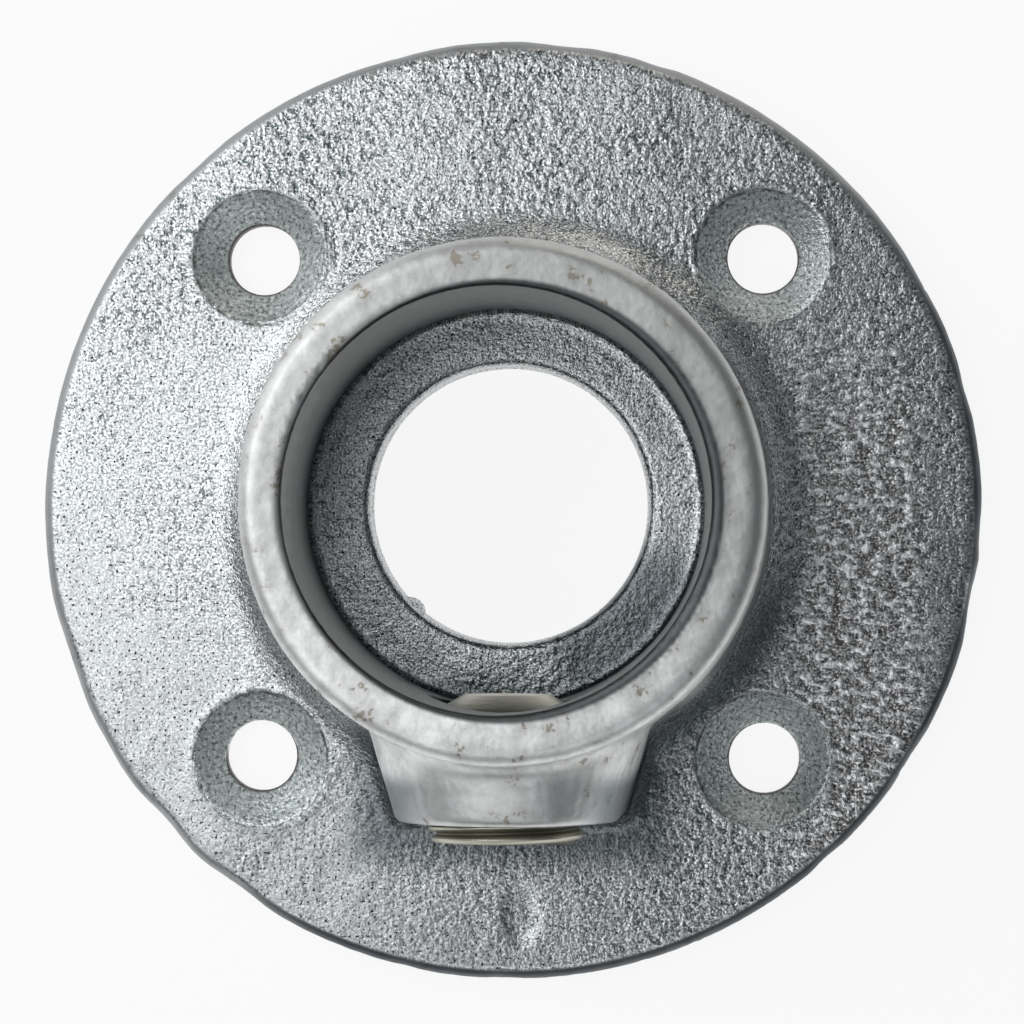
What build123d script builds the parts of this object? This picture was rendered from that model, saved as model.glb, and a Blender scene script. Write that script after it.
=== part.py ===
from build123d import *
import os
from math import cos, radians, sin, sqrt, tan

# Wall-and-floor flange for a round tube: one galvanised malleable-iron casting and the set screw
# that grips the tube. Millimetres. The origin is the centre of the mounting face, +Z runs up the
# tube's axis, and the set screw comes in from -Y.

# ---- tube socket ----
tube_dia = 42.4             # outside diameter of the tube that the socket takes
tube_gap = 0.45             # radial play round the tube at the socket's seat
socket_height = 45.0        # mounting face to rim
rim_wall = 5.4              # wall thickness at the rim
wall_draft_deg = 2.0        # outside of the socket, so that the pattern leaves the sand
seat_height = 6.0           # mounting face to the ledge that the tube stands on
guide_margin = 0.62         # the bore runs straight from the ledge to this far below the screw
core_flare = 0.1            # how much wider in radius the bore is at the rim than at the ledge
rim_outer_round = 2.0
rim_inner_round = 0.9
ledge_round = 0.9           # corner between the bore and the ledge

# ---- flange ----
flange_width = 24.95        # rim's outside to flange's edge, seen from above
edge_height = 5.0           # thickness at the edge
hub_height = 6.4            # thickness where the socket's fillet starts
edge_draft_deg = 2.0
edge_round = 1.8            # top of the edge
foot_round = 0.5            # bottom of the edge
root_round = 5.4            # socket wall to flange

# ---- hole through the base ----
through_dia = 30.4
through_top_round = 1.1
through_foot_round = 0.5
lump_angle_deg = 227.0      # a lump that the core left on the hole's wall
lump_reach = 0.9            # how far it stands into the hole
lump_width = 3.3

# ---- countersunk fixing holes ----
hole_count = 4
hole_edge_inset = 12.9      # flange's edge to each hole's centre
hole_dia = 7.8
sink_dia = 14.9             # where the countersink meets the flange's top
sink_angle_deg = 90.0

# ---- set screw ----
thread_dia = 16.66          # outside of the thread
screw_length = 15.55
tip_proud = 1.7             # how far the tip stands inside the bore
tip_flat_dia = 9.0
tip_slope_deg = 30.0        # cone round the tip, measured from the flat end
tip_core_dia = 14.9         # thread's root, where that cone starts
cup_dia = 6.4               # shallow cup in the tip, whose edge bites the tube
cup_floor_dia = 1.6
cup_angle_deg = 120.0
end_chamfer = 0.8           # first thread turned away at the outer end
key_across_flats = 8.0      # hexagon socket for the key
key_depth = 7.0
key_lead = 0.4              # chamfer round the socket's mouth
thread_gap = 0.05           # radial play between the screw and its hole

# ---- boss round the screw ----
boss_below_rim = 7.28       # rim to the top of the boss at the socket's wall
boss_stand = 5.8            # boss's face beyond the socket's wall at the screw's height
boss_wall = 3.5             # metal round the tapped hole at the boss's face
boss_taper_deg = 16.5       # the boss widens from its face to the socket
boss_side_draft_deg = 2.5   # its sides widen from the screw's axis down to the flange
boss_face_round = 1.2
boss_root_round = 2.5       # boss to socket and flange
tapped_lead = 0.5           # chamfer at the tapped hole's mouth

# ---- what follows from them ----
bore_r = tube_dia / 2 + tube_gap
rim_r = bore_r + rim_wall
flange_r = rim_r + flange_width
hole_circle_r = flange_r - hole_edge_inset
through_r = through_dia / 2
thread_r = thread_dia / 2
tapped_r = thread_r + thread_gap
boss_face_r = tapped_r + boss_wall
boss_growth = tan(radians(boss_taper_deg))
screw_height = socket_height - boss_below_rim - boss_face_r - boss_stand * boss_growth
guide_top = screw_height - tapped_r - guide_margin


def wall_r(height):
    """Outside radius of the drafted socket wall at a height."""
    return rim_r + (socket_height - height) * tan(radians(wall_draft_deg))


boss_face_y = -(wall_r(screw_height) + boss_stand)
tip_y = -(bore_r - tip_proud)


def pattern():
    """Flange and socket as one turned body, still without its holes."""
    edge_top_r = flange_r - edge_height * tan(radians(edge_draft_deg))
    outline = Polyline(
        (0, 0),
        (flange_r, 0),
        (edge_top_r, edge_height),
        (wall_r(hub_height), hub_height),
        (rim_r, socket_height),
        (0, socket_height),
        close=True,
    )
    half = make_face(outline)
    rounds = (
        (flange_r, 0, foot_round),
        (edge_top_r, edge_height, edge_round),
        (wall_r(hub_height), hub_height, root_round),
        (rim_r, socket_height, rim_outer_round),
    )
    for x, y, radius in rounds:
        corner = half.vertices().sort_by_distance((x, y, 0))[0]
        half = fillet(corner, radius)
    return revolve(Plane.XZ * half, Axis.Z)


def boss_section(y, top_r):
    """Tombstone outline at a distance from the socket: a round top running into drafted sides."""
    draft = radians(boss_side_draft_deg)
    side_x, side_z = top_r * cos(draft), screw_height + top_r * sin(draft)
    foot_half = side_x + side_z * tan(draft)
    arc = 180 - 2 * boss_side_draft_deg
    top = CenterArc((0, screw_height), top_r, boss_side_draft_deg, arc)
    sides = Polyline((-side_x, side_z), (-foot_half, 0), (foot_half, 0), (side_x, side_z))
    return Plane((0, y, 0), x_dir=(1, 0, 0), z_dir=(0, -1, 0)) * make_face(top + sides)


def boss():
    """The boss, running from its rounded face into the socket's wall."""
    inner_r = boss_face_r + (-bore_r - boss_face_y) * boss_growth
    sections = boss_section(boss_face_y, boss_face_r), boss_section(-bore_r, inner_r)
    block = loft(sections, ruled=True)
    face = block.faces().sort_by(Axis.Y)[0]
    return fillet(face.edges().sort_by(Axis.Z)[1:], boss_face_round)


def core():
    """What the sand core leaves empty: the socket, its ledge and the hole through the base."""
    mouth_r = bore_r + core_flare
    outline = Polyline(
        (0, 0),
        (through_r, 0),
        (through_r, seat_height),
        (bore_r, seat_height),
        (bore_r, guide_top),
        (mouth_r, socket_height),
        (0, socket_height),
        close=True,
    )
    half = make_face(outline)
    corner = half.vertices().sort_by_distance((bore_r, seat_height, 0))[0]
    half = fillet(corner, ledge_round)
    return revolve(Plane.XZ * half, Axis.Z)


def core_lump():
    """Bead of iron on the wall of the hole, left where the sand core was chipped."""
    bead_r = (lump_reach**2 + (lump_width / 2) ** 2) / (2 * lump_reach)
    reach_in = through_r - lump_reach + bead_r
    return Rot(0, 0, lump_angle_deg) * Pos(reach_in, 0, seat_height / 2) * Sphere(bead_r)


def fixing_holes():
    """Holes on a circle, sunk from the sloping flange and cut straight up into the socket's root."""
    slope = (hub_height - edge_height) / (flange_r - wall_r(hub_height))
    top = edge_height + hole_edge_inset * slope
    sink_depth = (sink_dia - hole_dia) / 2 / tan(radians(sink_angle_deg / 2))
    outline = Polyline(
        (0, 0),
        (hole_dia / 2, 0),
        (hole_dia / 2, top - sink_depth),
        (sink_dia / 2, top),
        (sink_dia / 2, hub_height + root_round),
        (0, hub_height + root_round),
        close=True,
    )
    drill = revolve(Plane.XZ * make_face(outline), Axis.Z)
    step = 360 / hole_count
    return [
        Rot(0, 0, (i + 0.5) * step) * Pos(hole_circle_r, 0, 0) * drill for i in range(hole_count)
    ]


def tapped_hole():
    """Hole for the set screw, clearing the boss's root outside its face and leading in there."""
    outline = Polyline(
        (0, -boss_root_round),
        (tapped_r + tapped_lead, -boss_root_round),
        (tapped_r + tapped_lead, 0),
        (tapped_r, tapped_lead),
        (tapped_r, -boss_face_y),
        (0, -boss_face_y),
        close=True,
    )
    return Pos(0, boss_face_y, screw_height) * revolve(make_face(outline), Axis.Y)


def ring(solid, radius, height):
    """The circular edge of a solid nearest to a radius and a height on the tube's axis."""
    centre = Vector(0, 0, height)
    circles = solid.edges().filter_by(GeomType.CIRCLE)
    return min(circles, key=lambda e: abs(e.radius - radius) + (e.arc_center - centre).length)


def flange_casting():
    """The casting: pattern and boss, less the core, then the drilled and tapped holes."""
    turned, block = pattern(), boss()
    raw = turned + block
    raw = fillet(new_edges(turned, block, combined=raw), boss_root_round)
    cast = raw - core()
    cast = fillet(ring(cast, bore_r + core_flare, socket_height), rim_inner_round)
    cast = fillet(ring(cast, through_r, seat_height), through_top_round)
    cast = fillet(ring(cast, through_r, 0), through_foot_round)
    cast = cast + core_lump() - fixing_holes() - tapped_hole()
    return cast


def set_screw():
    """Threaded set screw with a hexagon socket outside and a cupped tip, lying along +Y."""
    core_r, flat_r, cup_r, floor_r = (
        dia / 2 for dia in (tip_core_dia, tip_flat_dia, cup_dia, cup_floor_dia)
    )
    cone_start = screw_length - (core_r - flat_r) * tan(radians(tip_slope_deg))
    cup_floor = screw_length - (cup_r - floor_r) / tan(radians(cup_angle_deg / 2))
    outline = Polyline(
        (0, 0),
        (thread_r - end_chamfer, 0),
        (thread_r, end_chamfer),
        (thread_r, cone_start - (thread_r - core_r)),
        (core_r, cone_start),
        (flat_r, screw_length),
        (cup_r, screw_length),
        (floor_r, cup_floor),
        (0, cup_floor),
        close=True,
    )
    corner_r = key_across_flats / sqrt(3)
    lead_r = corner_r + key_lead
    inward = Plane((0, 0, 0), x_dir=(1, 0, 0), z_dir=(0, 1, 0))
    screw = revolve(make_face(outline), Axis.Y)
    screw -= extrude(inward * RegularPolygon(corner_r, 6), key_depth)
    screw -= inward * Cone(lead_r, 0, lead_r, align=(Align.CENTER, Align.CENTER, Align.MIN))
    return Pos(0, tip_y - screw_length, screw_height) * screw


def main():
    os.makedirs("parts", exist_ok=True)
    for node in (flange_casting, set_screw):
        export_step(node(), f"parts/{node.__name__}.step")


main()
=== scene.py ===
# %% [markdown]
# # Looks for a cast tube flange
# A round iron flange with an upright socket for a tube, and one set screw that grips the tube. The
# sizes come from the CAD frame. Blender adds what casting, galvanising and thread cutting leave on
# the surface: an uneven skin, zinc grain, a real thread.

# %% Load the frame
import bpy, bmesh
import numpy as np
from math import cos, hypot, pi, radians, tan
from mathutils import Matrix, Vector, noise


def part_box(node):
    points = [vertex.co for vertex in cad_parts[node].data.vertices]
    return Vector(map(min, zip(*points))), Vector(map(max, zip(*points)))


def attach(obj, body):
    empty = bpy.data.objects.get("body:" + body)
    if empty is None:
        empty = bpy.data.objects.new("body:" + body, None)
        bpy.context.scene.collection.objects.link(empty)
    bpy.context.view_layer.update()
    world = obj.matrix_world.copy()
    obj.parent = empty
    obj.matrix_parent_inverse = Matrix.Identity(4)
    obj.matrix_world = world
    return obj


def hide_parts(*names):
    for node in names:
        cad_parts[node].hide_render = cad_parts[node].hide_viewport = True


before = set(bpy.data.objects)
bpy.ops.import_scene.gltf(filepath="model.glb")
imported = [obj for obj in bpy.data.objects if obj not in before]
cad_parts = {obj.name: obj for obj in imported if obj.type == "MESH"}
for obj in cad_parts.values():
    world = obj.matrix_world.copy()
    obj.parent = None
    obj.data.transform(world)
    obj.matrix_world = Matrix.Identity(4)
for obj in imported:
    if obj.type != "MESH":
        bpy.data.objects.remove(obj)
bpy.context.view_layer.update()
MM = 0.001
screw_low, screw_high = (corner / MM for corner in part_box("set_screw"))
cast_low, cast_high = (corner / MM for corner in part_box("flange_casting"))
for name, low, high in (("casting", cast_low, cast_high), ("screw", screw_low, screw_high)):
    print(name, "measures", [round(v, 2) for v in high - low], "mm")

# %% [markdown]
# ## Camera
# The flange is seen from straight above at about half a metre, as on a copy stand. The lens is
# slightly right of the middle and in front of it, so the left wall of the socket shows inside, and
# the boss in front shows its face. Aiming the camera at the flange's middle frames it without any
# lens shift.

# %% Camera
lens_at = Vector((13.0, -10.0, 500.0))
aimed_at = Vector((0.01, -0.32, 5.0))
backwards = (lens_at - aimed_at).normalized()
rightwards = Vector((0, 1, 0)).cross(backwards).normalized()
turn = Matrix((rightwards, backwards.cross(rightwards), backwards)).transposed()

lens = bpy.data.cameras.new("Copy stand")
lens.sensor_width, lens.lens = 36.0, 158.2
lens.clip_start, lens.clip_end = 0.01, 20.0
camera = bpy.data.objects.new("Copy stand", lens)
camera.matrix_world = Matrix.Translation(lens_at * MM) @ turn.to_4x4()
bpy.context.scene.collection.objects.link(camera)
bpy.context.scene.camera = camera
print("camera leans", round(backwards.angle(Vector((0, 0, 1))) * 180 / pi, 2), "degrees")

# %% [markdown]
# ## Casting skin
# The casting's CAD mesh is right in size but too perfect, and its triangles are long and thin.
# Sculpting by hand would work, but code gives the same result every time. A merged copy goes
# through a Remesh modifier, which lays an even net of small faces over it. Each point of that net
# can then be pushed a little way into the iron.

# %% Even net over the casting
def merged_copy(node):
    """A bmesh of a CAD node, with the loose triangles joined at their corners."""
    net = bmesh.new()
    net.from_mesh(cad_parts[node].data)
    bmesh.ops.remove_doubles(net, verts=net.verts, dist=1e-7)
    return net


def piece_from(net, name):
    """Puts a bmesh into a new object at the origin."""
    mesh = bpy.data.meshes.new(name)
    net.to_mesh(mesh)
    net.free()
    piece = bpy.data.objects.new(name, mesh)
    bpy.context.scene.collection.objects.link(piece)
    return piece


def settle(piece):
    """Applies the piece's modifiers, so that its mesh is what the modifiers show."""
    shown = piece.evaluated_get(bpy.context.evaluated_depsgraph_get())
    made = bpy.data.meshes.new_from_object(shown)
    piece.modifiers.clear()
    old, piece.data = piece.data, made
    bpy.data.meshes.remove(old)
    made.name = piece.name


casting = piece_from(merged_copy("flange_casting"), "casting_skin")
netting = casting.modifiers.new("Even net", "REMESH")
netting.mode, netting.octree_depth, netting.scale = "SHARP", 8, 0.76
netting.use_remove_disconnected = False
settle(casting)
print("net faces", len(casting.data.polygons))

# %% [markdown]
# ## Drilled and tapped places
# The fixing holes were drilled by hand-held work in a jig, so each hole sits a few tenths of a
# millimetre off its countersink. The cored hole through the base has drifted as well, because a
# sand core never sits quite true. Moving the net's points sideways, with a soft fall-off, shows
# that. The tapped hole stays on its CAD axis, because the screw runs in it, and its wall is trued
# afterwards to a radius a few hundredths of a millimetre wider than the CAD's.

# %% Read the net's points
spots = np.empty(len(casting.data.vertices) * 3, np.float32)
casting.data.vertices.foreach_get("co", spots)
spots = spots.reshape(-1, 3).astype(float) / MM


def fade(value, start, end):
    """Runs smoothly from 0 at start to 1 at end."""
    share = np.clip((value - start) / (end - start), 0, 1)
    return share * share * (3 - 2 * share)


def across(points, x=0.0, y=0.0):
    """Distance from an upright axis."""
    return np.hypot(points[:, 0] - x, points[:, 1] - y)


# %% Holes that wandered
HOLE_XY = 27.648
wandered = (  # quadrant signs, hole's drift, countersink's drift
    (-1, 1, (0.15, 0.05), (-0.4, 0.45)),
    (1, 1, (0.05, 0.15), (0.15, 0.6)),
    (-1, -1, (-0.1, 0.45), (-0.15, 0.05)),
    (1, -1, (0.15, 0.2), (0.05, -0.05)),
)
for side_x, side_y, hole_drift, sink_drift in wandered:
    away = across(spots, side_x * HOLE_XY, side_y * HOLE_XY)
    in_hole = 1 - fade(away, 4.2, 6.8)
    near = 1 - fade(away, 8.0, 11.0)
    sideways = np.outer(in_hole * near, hole_drift) + np.outer((1 - in_hole) * near, sink_drift)
    spots[:, :2] += sideways

screw_axis_z = (screw_low.z + screw_high.z) / 2
TAPPED_R = 8.42
from_screw = np.hypot(spots[:, 0], spots[:, 2] - screw_axis_z)
clear_of_screw = fade(from_screw, 8.9, 11.5) + (spots[:, 1] > -15)
in_core = (1 - fade(across(spots), 22.3, 26.5)) * fade(spots[:, 2], 0.5, 5.0)
in_core *= np.clip(clear_of_screw, 0, 1)
in_throat = (1 - fade(across(spots), 15.8, 20.0)) * (1 - fade(spots[:, 2], 6.0, 9.0))
core_drift, throat_drift = (-0.55, 0.1), (-0.24, 0.46)
sideways = np.outer(in_core * (1 - in_throat), core_drift) + np.outer(in_throat, throat_drift)
spots[:, :2] += sideways
print("largest drift", round(max(hypot(*w[3]) for w in wandered), 2), "mm")

# %% Dents in the flange's outline
edge_dents = (  # angle, half width in degrees, depth in mm
    (222, 6.5, 0.42), (234, 6.5, 0.34), (349, 6.5, 0.42), (357, 5, 0.22), (198, 9, 0.28),
    (15, 4, 0.2), (72, 3, 0.14), (84, 5, 0.2), (104, 9, 0.16), (132, 6, 0.1), (210, 6, 0.1),
    (257, 4, 0.15), (269, 4, 0.14), (312, 3, 0.2), (328, 5, 0.22), (29, 5, 0.12),
)
angle = np.degrees(np.arctan2(spots[:, 1], spots[:, 0]))
bite = np.zeros(len(spots))
for middle, half_width, depth in edge_dents:
    off = np.abs((angle - middle + 180) % 360 - 180)
    bite = np.maximum(bite, depth * (1 - fade(off, 0, half_width)))
out_r = across(spots)
bite *= fade(out_r, 48.0, 51.2)
spots[:, :2] *= (1 - bite / np.maximum(out_r, 1))[:, None]
print("deepest bite", round(bite.max(), 2), "mm")

# %% [markdown]
# ## Uneven skin
# Iron poured into damp sand cools with soft hollows a few millimetres to a centimetre across, and
# zinc runs pool in them. Three layers of Perlin noise give the hollows, and one shallow oval dimple
# lies in front of the boss. They only ever push inwards, so the piece never grows beyond its CAD
# size. Machined places and the flat foot are left alone.

# %% Push the points inwards
casting.data.vertices.foreach_set("co", (spots * MM).astype(np.float32).ravel())
casting.data.update()
facing = np.empty(len(spots) * 3, np.float32)
casting.data.vertices.foreach_get("normal", facing)
facing = facing.reshape(-1, 3).astype(float)


def hollows(points, size, seed):
    """Perlin noise from 0 to 1 with hills of a size in mm."""
    shift = Vector((seed * 17.3, seed * 5.1, seed * 9.7))
    return np.array([0.5 + 0.5 * noise.noise(Vector(p) / size + shift) for p in points])


from_screw = np.hypot(spots[:, 0], spots[:, 2] - screw_axis_z)
tapped = (1 - fade(from_screw, 9.0, 10.0)) * (1 - fade(spots[:, 1], -20.5, -19.5))
sunk = np.zeros(len(spots))
for side_x, side_y, hole_drift, sink_drift in wandered:
    away = across(spots, side_x * HOLE_XY + sink_drift[0], side_y * HOLE_XY + sink_drift[1])
    sunk = np.maximum(sunk, 1 - fade(away, 7.2, 8.2))
cored = (1 - fade(across(spots), 22.0, 22.6)) * fade(spots[:, 2], 6.5, 9.0)
free = fade(spots[:, 2], 0.3, 1.6) * (1 - tapped) * (1 - sunk) * (1 - 0.6 * cored)

depth = 0.20 * hollows(spots, 11.0, 1) + 0.10 * hollows(spots, 4.0, 2)
depth = depth + 0.045 * hollows(spots, 1.9, 3)
dimple = np.hypot((spots[:, 0] - 1.0) / 2.2, (spots[:, 1] + 44.4) / 3.8)
depth += 0.30 * (1 - fade(dimple, 0.55, 1.1))
spots -= facing * (depth * free)[:, None]
print("mean hollow", round(float((depth * free).mean()), 3), "mm")

# %% True the tapped hole and the foot
height_off = spots[:, 2] - screw_axis_z
from_screw = np.hypot(spots[:, 0], height_off)
on_wall = (from_screw > 7.5) & (from_screw < TAPPED_R) & (spots[:, 1] < -15)
spots[on_wall, 0] *= TAPPED_R / from_screw[on_wall]
spots[on_wall, 2] = screw_axis_z + height_off[on_wall] * TAPPED_R / from_screw[on_wall]
spots = np.clip(spots, np.array(cast_low), np.array(cast_high))
casting.data.vertices.foreach_set("co", (spots * MM).astype(np.float32).ravel())
casting.data.update()

net = bmesh.new()
net.from_mesh(casting.data)
foot = {f for f in net.faces if all(v.co.z < 0.01 * MM for v in f.verts)}
border = [e for e in net.edges if sum(f in foot for f in e.link_faces) == 1]
bmesh.ops.delete(net, geom=list(foot), context="FACES_KEEP_BOUNDARY")
filled = bmesh.ops.triangle_fill(net, use_beauty=True, edges=border, normal=(0, 0, -1))
sole = [f for f in filled["geom"] if isinstance(f, bmesh.types.BMFace)]
for face in net.faces:
    face.smooth = True
for face in sole:
    face.smooth = False
    if face.normal.z > 0:
        face.normal_flip()
print("sole faces", len(sole), "open edges", sum(len(e.link_faces) != 2 for e in net.edges))
net.to_mesh(casting.data)
net.free()
casting.data.calc_loop_triangles()
print("casting triangles", len(casting.data.loop_triangles))

# %% [markdown]
# ## Where the skin differs
# Zinc drains off a dipped casting towards one side, so its grain is calm there and coarse on the
# other.
# Beside the boss and in the lower-right quadrant the skin gets painted shade, and on the right side
# painted shade and painted glints sit among the scales. These broad zones are stored on the net's
# points. Working them out once here is quicker than with noise nodes that are asked again at every
# sample.

# %% Note where the skin is patchy and scaly, and where shade is painted
spots = np.empty(len(casting.data.vertices) * 3, np.float32)
casting.data.vertices.foreach_get("co", spots)
spots = spots.reshape(-1, 3).astype(float) / MM
patchy = 0.45 * hollows(spots, 15.0, 4) + 0.30 * hollows(spots, 6.0, 5)
patchy = patchy + 0.25 * hollows(spots, 2.4, 6)
patchy = 0.55 + 2.6 * (patchy - 0.5)
run_off = fade(-spots[:, 0], 12, 34) * (1 - fade(np.abs(spots[:, 1] + 4), 12, 34))
# Two darker blots: the upper-left one darkens the skin there, and the lower-right one is painted
# shade.
dark_blot_and_shade = 0.40 * (1 - fade(across(spots, -22, 39), 4, 17))
dark_blot_and_shade = dark_blot_and_shade + 0.40 * (1 - fade(across(spots, 29, -34), 6, 19))
patchy += dark_blot_and_shade
patchy = np.clip(patchy - 0.4 * run_off - 0.3 * (across(spots) < 22), 0, 1)
# The right side carries raised scales, and also painted shade and painted glints among them.
scales_and_right_shade = fade(spots[:, 0], 24, 36) * (1 - fade(spots[:, 1], 6, 30)) * (1 - fade(spots[:, 0], 43, 49))
# Painted shade: the flange beside the boss and the lower-right quadrant by the socket are marked to be
# coloured darker.
beside = np.maximum(np.abs(spots[:, 0]) - 14.5, np.maximum(-spots[:, 1] - 36.0, spots[:, 1] + 22))
bearing = np.degrees(np.arctan2(spots[:, 1], spots[:, 0]))
shaded = (1 - fade(across(spots), 30.5, 34.5)) * fade(bearing, -85, -65) * (1 - fade(bearing, -25, -5))
painted_shade_zone = np.maximum(1 - fade(beside, 0.5, 5.5), shaded) * (1 - fade(spots[:, 2], 7.5, 10.0))
glossy = (1 - fade(spots[:, 1], -30.0, -27.5)) * fade(spots[:, 2], 7.5, 10.0)
calm = fade(-spots[:, 0] - spots[:, 1], 40, 58) * (1 - 0.5 * hollows(spots, 5.0, 7))
for name, columns in (("zones", (patchy, scales_and_right_shade, painted_shade_zone - glossy)), ("more_zones", (calm, calm, calm))):
    stored = casting.data.attributes.new(name, "FLOAT_VECTOR", "POINT")
    stored.data.foreach_set("vector", np.column_stack(columns).astype(np.float32).ravel())
print("patchy from", round(patchy.min(), 2), "to", round(patchy.max(), 2))

# %% [markdown]
# ## Set screw
# The real screw is turned from bar, its thread is rolled, and the hexagon is punched into its
# outer end. Blender can follow the same order: a profile is spun into the blank, the points of
# the long side are moved in and out along a helix, and the points of the socket are moved out to
# a hexagon. A helix modelled by a Screw modifier would need its ends trimmed afterwards.

# %% Turn the blank
PITCH = 25.4 / 19
THREAD_R = (screw_high.x - screw_low.x) / 2
THREAD_DEPTH = 0.64 * PITCH
outer_y, tip_y = screw_low.y, screw_high.y
KEY_FLATS, KEY_DEPTH, KEY_MOUTH_R = 8.0, 7.0, 5.02
CORE_R, TIP_R, CUP_R, CUP_DEPTH = 7.45, 4.5, 3.25, 1.386
CONE_START = tip_y - (CORE_R - TIP_R) * tan(radians(30))
STEPS = 96

blank = bmesh.new()
rows = 150
profile = [(0, outer_y + KEY_DEPTH + 1.2), (3.9, outer_y + KEY_DEPTH), (3.95, outer_y + 1.2),
           (KEY_MOUTH_R, outer_y), (CORE_R, outer_y)]
profile += [(THREAD_R, outer_y + (CONE_START - outer_y) * i / rows) for i in range(rows + 1)]
profile += [(6.9, tip_y - 1.36), (4.75, tip_y - 0.1), (TIP_R, tip_y), (CUP_R, tip_y),
            (3.1, tip_y - 0.06), (0.8, tip_y - CUP_DEPTH), (0, tip_y - CUP_DEPTH)]
line = [blank.verts.new((r, y, 0)) for r, y in profile]
edges = [blank.edges.new(pair) for pair in zip(line, line[1:])]
bmesh.ops.spin(
    blank, geom=line + edges, cent=(0, 0, 0), axis=(0, 1, 0), angle=2 * pi, steps=STEPS,
    use_merge=True,
)
bmesh.ops.remove_doubles(blank, verts=blank.verts, dist=1e-5)
print("blank faces", len(blank.faces))

# %% Cut the thread
def thread_r(y, turned):
    """Radius of the thread at a place along the screw and an angle about it, in turns."""
    along = ((y - outer_y) / PITCH + 0.13 - turned) % 1
    flank = 1 - abs(2 * along - 1)
    share = min(1, max(0, (flank - 1 / 8) / (6 / 8)))
    share = share * share * (3 - 2 * share) * 0.4 + share * 0.6
    return THREAD_R - THREAD_DEPTH * (1 - share)


for vert in blank.verts:
    r, y = hypot(vert.co.x, vert.co.z), vert.co.y
    if abs(r - THREAD_R) < 1e-3:
        turned = np.arctan2(vert.co.x, vert.co.z) / (2 * pi)
        start_limit = 7.75 + (y - outer_y)
        end_limit = CORE_R + (CONE_START - y) * 1.2
        wanted = min(thread_r(y, turned), start_limit, max(end_limit, 7.0))
        vert.co.x *= wanted / r
        vert.co.z *= wanted / r

# %% Punch the hexagon
for vert in blank.verts:
    r, y = hypot(vert.co.x, vert.co.z), vert.co.y
    if 3.8 < r < 4.0 and y < outer_y + KEY_DEPTH + 0.1:
        turned = np.arctan2(vert.co.z, vert.co.x) % (pi / 3) - pi / 6
        wall_r = KEY_FLATS / 2 / cos(turned)
        if y < outer_y + 2:
            vert.co.y = outer_y + KEY_MOUTH_R - wall_r
        vert.co.x *= wall_r / r
        vert.co.z *= wall_r / r
bmesh.ops.translate(blank, verts=blank.verts, vec=(0, 0, screw_axis_z))
bmesh.ops.scale(blank, verts=blank.verts, vec=(MM, MM, MM))
bmesh.ops.recalc_face_normals(blank, faces=blank.faces)
print("open edges on the screw", sum(len(e.link_faces) != 2 for e in blank.edges))
screw = piece_from(blank, "set_screw_threaded")
screw.data.shade_smooth()
screw.data.calc_loop_triangles()
print("screw triangles", len(screw.data.loop_triangles))

# %% [markdown]
# ## Writing materials as sums
# A material is a graph of nodes, and drawing it by hand takes many links. Here a small class wraps
# one socket and turns + - * / into Math nodes, so a mask reads like a formula. Any other node comes
# from one method of the finish.

# %% Sockets that can be added and multiplied
class Wire:
    """One output socket of a finish, with arithmetic."""

    def __init__(self, finish, socket):
        self.finish, self.socket = finish, socket

    def __add__(self, other):
        return self.finish.math("ADD", self, other)

    def __radd__(self, other):
        return self.finish.math("ADD", other, self)

    def __sub__(self, other):
        return self.finish.math("SUBTRACT", self, other)

    def __rsub__(self, other):
        return self.finish.math("SUBTRACT", other, self)

    def __mul__(self, other):
        return self.finish.math("MULTIPLY", self, other)

    def __rmul__(self, other):
        return self.finish.math("MULTIPLY", other, self)

    def __truediv__(self, other):
        return self.finish.math("DIVIDE", self, other)

    def least(self, other):
        return self.finish.math("MINIMUM", self, other)

    def most(self, other):
        return self.finish.math("MAXIMUM", self, other)

    def rise(self, start, end):
        """Runs smoothly from 0 at start to 1 at end."""
        if start > end:
            return 1 - self.rise(end, start)
        settings = {"interpolation_type": "SMOOTHSTEP"}
        sockets = {"Value": self, "From Min": start, "From Max": end}
        return self.finish.node("MapRange", settings, sockets)


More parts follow.
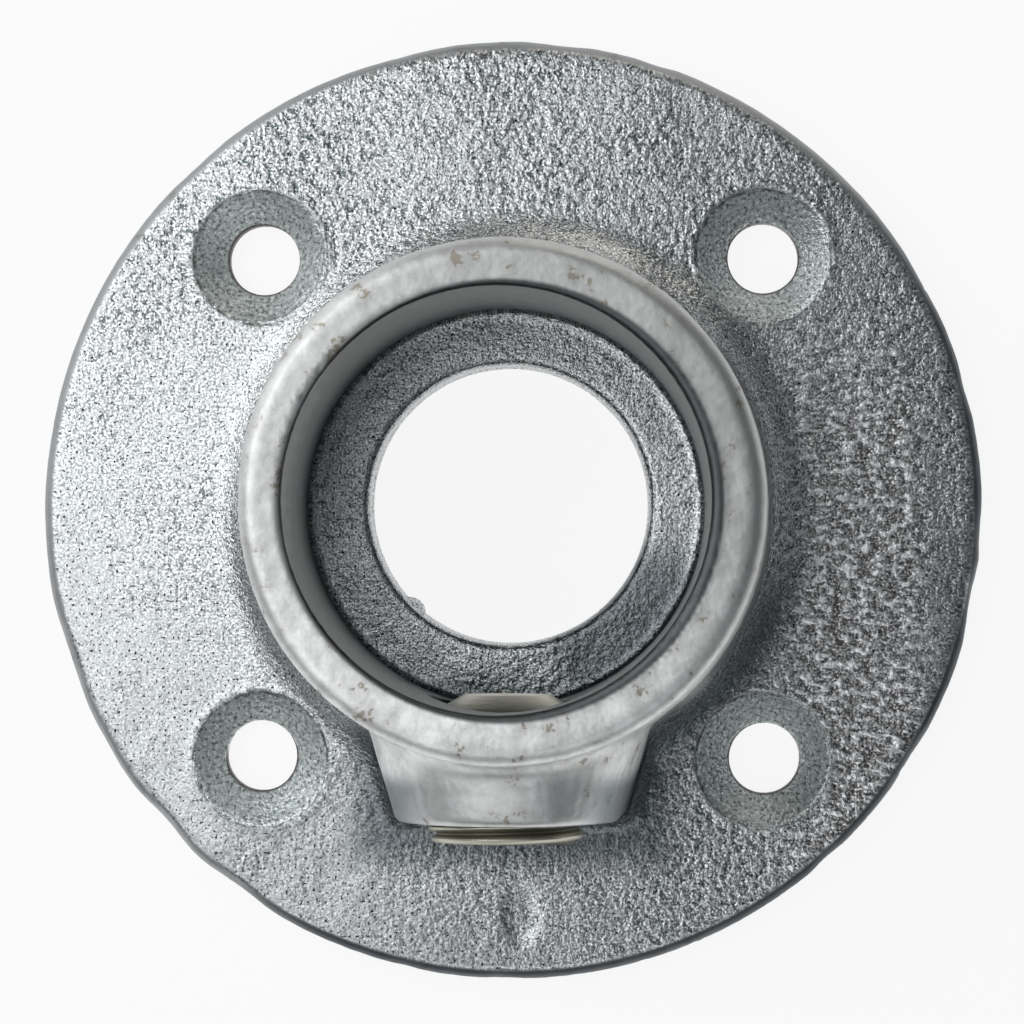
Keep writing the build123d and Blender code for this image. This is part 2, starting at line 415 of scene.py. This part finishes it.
class Finish:
    """A node material under construction."""

    def __init__(self, owner, end_kind="Material"):
        """Starts the empty node tree of a material or, with another kind of end, of a world."""
        self.owner, self.end_kind = owner, end_kind
        owner.use_nodes = True
        self.tree = owner.node_tree
        self.tree.nodes.clear()

    def node(self, kind, settings=None, sockets=None, output=0):
        """Adds a node, sets it up, fills or links its sockets and returns one output."""
        made = self.tree.nodes.new("ShaderNode" + kind)
        for key, value in (settings or {}).items():
            setattr(made, key, value)
        for key, value in (sockets or {}).items():
            if isinstance(value, Wire):
                self.tree.links.new(value.socket, made.inputs[key])
            else:
                made.inputs[key].default_value = value
        return Wire(self, made.outputs[output])

    def math(self, operation, *values):
        return self.node("Math", {"operation": operation}, dict(enumerate(values)))

    def mix(self, share, first, second):
        """Blends two colours."""
        first, second = ((*c, 1) if isinstance(c, tuple) else c for c in (first, second))
        return self.node("Mix", {"data_type": "RGBA"}, {0: share, 6: first, 7: second}, output=2)

    def noise(self, place, size, detail=2.0, roughness=0.5):
        """Noise around 0.5 whose lumps are about a size across, in mm."""
        sockets = {"Vector": place, "Scale": 1 / size, "Detail": detail, "Roughness": roughness}
        return self.node("TexNoise", {"noise_dimensions": "3D"}, sockets)

    def flat_noise(self, place, size, detail=2.0, roughness=0.5):
        """The same noise, the same all the way up."""
        sockets = {"Vector": place, "Scale": 1 / size, "Detail": detail, "Roughness": roughness}
        return self.node("TexNoise", {"noise_dimensions": "2D"}, sockets)

    def parts(self, place):
        """The three numbers of a vector."""
        apart = self.node("SeparateXYZ", None, {0: place})
        return [Wire(self, number) for number in apart.socket.node.outputs]

    def vector(self, operation, first, second=None, output=0):
        sockets = {0: first} if second is None else {0: first, 1: second}
        return self.node("VectorMath", {"operation": operation}, sockets, output)

    def metal(self, colour, roughness, height):
        """A metal surface whose relief is given in mm."""
        relief = self.node("Bump", None, {"Strength": 1.0, "Distance": MM, "Height": height})
        sockets = {"Base Color": colour, "Roughness": roughness, "Metallic": 1.0, "Normal": relief}
        return self.node("BsdfPrincipled", None, sockets)

    def blend(self, share, first, second):
        """Goes from the first shader to the second."""
        return self.node("MixShader", None, {0: share, 1: first, 2: second})

    def end(self, shader):
        output = self.tree.nodes.new("ShaderNodeOutput" + self.end_kind)
        self.tree.links.new(shader.socket, output.inputs["Surface"])


# %% [markdown]
# ## Galvanised iron
# The casting was dipped in molten zinc. On the flange the zinc follows the sand grain as a coarse
# glitter with tiny black pits; the rim and the boss are smoother and duller, where the zinc ran off
# and was wiped; the countersinks were cut before the dip and are satin. Three metals make up the
# one material, and masks worked out from where a point lies choose between them.

# %% Zinc: where a point lies
zinc = Finish(bpy.data.materials.new("Galvanised iron"))
metres = zinc.node("TexCoord", output=3)
place = zinc.node("VectorMath", {"operation": "SCALE"}, {0: metres, "Scale": 1 / MM})
x, y, z = zinc.parts(place)
flat_place = zinc.vector("MULTIPLY", place, (1, 1, 0))
r = zinc.vector("LENGTH", flat_place, output=1)
mirrored = zinc.vector("ABSOLUTE", flat_place)
sink_r = zinc.vector("DISTANCE", mirrored, (HOLE_XY, HOLE_XY, 0), output=1)

on_sink = sink_r.rise(8.0, 7.3) * z.rise(6.8, 6.1)
smooth_part = z.rise(8.2, 11.0) * r.rise(21.0, 22.6)
in_bore = r.rise(22.8, 22.3) * z.rise(6.3, 7.3)
on_edge = r.rise(50.5, 51.0) * z.rise(5.5, 4.9)
smoothness = smooth_part.most(in_bore).most(on_edge)
patches, on_right, boss_and_shade_zone = zinc.parts(zinc.node("Attribute", {"attribute_name": "zones"}, output=1))
calm, _, _ = zinc.parts(zinc.node("Attribute", {"attribute_name": "more_zones"}, output=1))

# %% Zinc: grainy skin
climb = 1 - zinc.math("ABSOLUTE", z - 6) / r
spread = zinc.node("VectorMath", {"operation": "SCALE"}, {0: flat_place, "Scale": climb})
lumps = zinc.flat_noise(spread, 0.95, 1.5, 0.65)
crumbs = zinc.flat_noise(zinc.vector("ADD", spread, (31, 17, 0)), 0.27, 1.0, 0.6)
scales = zinc.flat_noise(zinc.vector("MULTIPLY", spread, (0.5, 1.0, 1.0)), 0.75, 1.0, 0.6)
pores = zinc.flat_noise(zinc.vector("ADD", spread, (5, 61, 0)), 0.33, 0.0)
pits = (pores - calm * 0.03).rise(0.22, 0.15)
busy = 1 - calm * 0.6
relief = lumps * (0.06 + patches * 0.17) * busy + crumbs * busy * 0.040
relief = relief + on_right * scales * 0.24 - pits * 0.04
colour = zinc.mix(patches, (0.51, 0.53, 0.54), (0.45, 0.46, 0.46))
# Painted shade: the grain's valleys, and more so the right side's scales, are coloured dark.
dark = crumbs.rise(0.47, 0.30) * 0.7 + lumps.rise(0.50, 0.30) * (0.3 + patches * 0.7)
dark = dark + on_right * scales.rise(0.54, 0.40) * 0.5
valley_shade = zinc.mix(on_right, (0.12, 0.145, 0.155), (0.16, 0.145, 0.145))
colour = zinc.mix((dark * busy).least(1.0), colour, valley_shade)
# Painted glints: the grain's peaks and the right side's flakes are coloured near white.
light = crumbs.rise(0.54, 0.70) * busy + on_right * scales.rise(0.54, 0.66)
colour = zinc.mix(light.least(1.0), colour, (0.93, 0.95, 0.97))
colour = zinc.mix(pits * 0.95, colour, (0.015, 0.013, 0.012))
# Painted shade: a dark colour beside the boss and in the lower-right quadrant.
colour = zinc.mix(boss_and_shade_zone.most(0) * 0.75, colour, (0.08, 0.10, 0.11))
grainy = zinc.metal(colour, 0.28 + crumbs * 0.12 + on_right * 0.06, relief)

# %% Zinc: rim, boss, bore and edge
mottle = zinc.noise(place, 1.5, 2.0, 0.45)
stains = zinc.noise(place, 2.6, 4.0, 0.7)
relief = mottle * 0.07
colour = zinc.mix(stains.rise(0.30, 0.68), (0.87, 0.88, 0.88), (0.65, 0.655, 0.65))
# Painted shade: the far half of the rim is coloured darker, most on the right.
far_side_shade = y.rise(-20, -2) * (0.65 + x.rise(-22, 0) * 0.35)
colour = zinc.mix(far_side_shade * 0.7, colour, (0.40, 0.405, 0.405))
colour = zinc.mix((0 - boss_and_shade_zone).most(0) * 0.45, colour, (0.50, 0.505, 0.51))
colour = zinc.mix(stains.rise(0.61, 0.66) * 0.7, colour, (0.26, 0.22, 0.16))
# Painted shade: the bore's wall is coloured nearly black.
colour = zinc.mix(in_bore * 0.95, colour, (0.065, 0.073, 0.076))
# Painted shade: the boss's steep sides are coloured dark teal.
boss_side_shade = (0 - boss_and_shade_zone).most(0) * zinc.math("ABSOLUTE", x).rise(7.0, 11.0)
colour = zinc.mix(boss_side_shade * 0.8, colour, (0.17, 0.20, 0.215))
# Painted shade: the flange's rounded edge is coloured darker, and nearly black towards the lower
# right.
colour = zinc.mix(on_edge * 0.7, colour, (0.26, 0.275, 0.29))
colour = zinc.mix(on_edge * (x - y).rise(0, 30) * 0.8, colour, (0.04, 0.05, 0.06))
smooth = zinc.metal(colour, 0.44 + stains * 0.08 + boss_and_shade_zone.least(0) * 0.04, relief)

# %% Zinc: countersinks
sink_x, sink_y, _ = zinc.parts(zinc.vector("SUBTRACT", mirrored, (HOLE_XY, HOLE_XY, 0)))
corner = x.rise(-1, 1) * 7 + y.rise(-1, 1) * 13
bearing = zinc.math("ARCTAN2", sink_y, sink_x)
swirl = zinc.node("CombineXYZ", None, {0: sink_r * 3.0 + corner, 1: bearing * 6.0 + corner})
rings = zinc.flat_noise(swirl, 1.0, 1.0, 0.7)
grit = zinc.flat_noise(place, 0.40, 1.5, 0.75)
colour = zinc.mix(rings.rise(0.35, 0.65), (0.50, 0.545, 0.545), (0.69, 0.735, 0.735))
colour = zinc.mix(grit.rise(0.45, 0.30) * 0.8, colour, (0.10, 0.11, 0.11))
colour = zinc.mix(grit.rise(0.58, 0.72), colour, (0.97, 0.98, 0.98))
# Painted shade: a dark line along each countersink's outer edge.
border = sink_r.rise(7.15, 7.35) * sink_r.rise(7.75, 7.5) * rings.rise(0.40, 0.60)
colour = zinc.mix(border * 0.8, colour, (0.06, 0.07, 0.07))
# Painted shade: the walls of the drilled holes below the countersinks are coloured nearly black.
colour = zinc.mix(sink_r.rise(4.15, 4.0) * z.rise(2.6, 2.2), colour, (0.06, 0.05, 0.05))
satin = zinc.metal(colour, 0.44, rings * 0.06 + grit * 0.16)
zinc.end(zinc.blend(on_sink, zinc.blend(smoothness, grainy, smooth), satin))

# %% [markdown]
# ## Plated steel
# The screw is zinc plated with a yellowish passivation. It is smoother than the casting and looks
# olive grey, with painted shade in the roots of its thread.

# %% Steel
steel = Finish(bpy.data.materials.new("Plated steel"))
metres = steel.node("TexCoord", output=3)
place = steel.node("VectorMath", {"operation": "SCALE"}, {0: metres, "Scale": 1 / MM})
from_axis = steel.vector("MULTIPLY", steel.vector("SUBTRACT", place, (0, 0, screw_axis_z)), (1, 0, 1))
screw_r = steel.vector("LENGTH", from_axis, output=1)
cloud = steel.noise(place, 2.5, 3.0)
scratch = steel.noise(steel.vector("MULTIPLY", place, (1, 6, 1)), 1.5, 2.0)
along = steel.node("SeparateXYZ", None, {0: place})
screw_y = Wire(steel, along.socket.node.outputs[1])
on_thread = screw_y.rise(CONE_START + 0.1, CONE_START - 0.1)
root = screw_r.rise(8.0, 7.55) * on_thread * screw_r.rise(7.2, 7.3)
colour = steel.mix(cloud, (0.46, 0.45, 0.38), (0.60, 0.58, 0.50))
# Painted shade: the thread's roots are coloured dark.
colour = steel.mix(root * 0.8, colour, (0.10, 0.09, 0.07))
steel.end(steel.metal(colour, 0.30 + cloud * 0.12 + root * 0.2, scratch * 0.015))

# %% Dress the pieces
for piece, finish, node, body, slot in (
    (casting, zinc, "flange_casting", "casting", "galvanised_iron"),
    (screw, steel, "set_screw", "screw", "plated_steel"),
):
    piece.data.materials.clear()
    piece.data.materials.append(finish.owner)
    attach(piece, body)
    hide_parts(node)

# %% [markdown]
# ## Floor and light
# The piece lies on a pale table. Four soft lamps light it: the key above and to the left, a second
# low on the left, a wide one in front and a small warm one behind. A dim room gives the rest. The
# camera and the metal's own reflections see the table as nearly white, and a tenth of it still
# answers to the lamps, which keeps the shadow.

# %% Floor
table = bmesh.new()
bmesh.ops.create_grid(table, x_segments=1, y_segments=1, size=2.0)
floor = piece_from(table, "floor")
pale = Finish(bpy.data.materials.new("Pale table"))
path = pale.node("LightPath")
ports = path.socket.node.outputs
by_eye, by_metal = Wire(pale, ports["Is Camera Ray"]), Wire(pale, ports["Is Glossy Ray"])
by_glass = Wire(pale, ports["Is Transmission Ray"])
matt = pale.node("BsdfDiffuse", None, {"Color": (0.8, 0.8, 0.8, 1)})
seen = by_eye.most(by_metal).most(by_glass) * 0.90
glow = pale.node("Emission", None, {"Color": (1, 1, 1, 1), "Strength": 1.0})
pale.end(pale.blend(seen, matt, glow))
floor.data.materials.append(pale.owner)

# %% Lamps and room
def lamp(name, at, aim, size, power):
    """A square soft lamp at a place in mm, facing another."""
    light = bpy.data.lights.new(name, "AREA")
    light.shape, light.size, light.energy = "SQUARE", size, power
    holder = bpy.data.objects.new(name, light)
    holder.location = Vector(at) * MM
    holder.rotation_euler = (Vector(aim) - Vector(at)).to_track_quat("-Z", "Y").to_euler()
    bpy.context.scene.collection.objects.link(holder)
    return holder


lamp("Key", (-192, 74, 400), (0, 0, 10), 0.42, 0.95)
front = lamp("Front", (-80, -310, 380), (0, 0, 10), 0.80, 0.50)
front.data.shape, front.data.size_y = "RECTANGLE", 0.16
warm = lamp("Back", (120, 420, 150), (0, 0, 10), 0.20, 0.20)
warm.data.color = (1.0, 0.94, 0.84)
lamp("Left, low", (-370, 250, 200), (0, 0, 10), 0.55, 1.10)
room = bpy.data.worlds.new("Room")
bpy.context.scene.world = room
air = Finish(room, "World")
path = air.node("LightPath")
dim = air.node("Background", None, {"Color": (0.9, 0.96, 1.0, 1), "Strength": 0.135})
white = air.node("Background", None, {"Color": (1, 1, 1, 1), "Strength": 1.0})
to_camera = Wire(air, path.socket.node.outputs["Is Camera Ray"])
air.end(air.blend(to_camera, dim, white))
bpy.context.scene.view_settings.view_transform = "Standard"

# %% Hand over
bpy.context.view_layer.update()
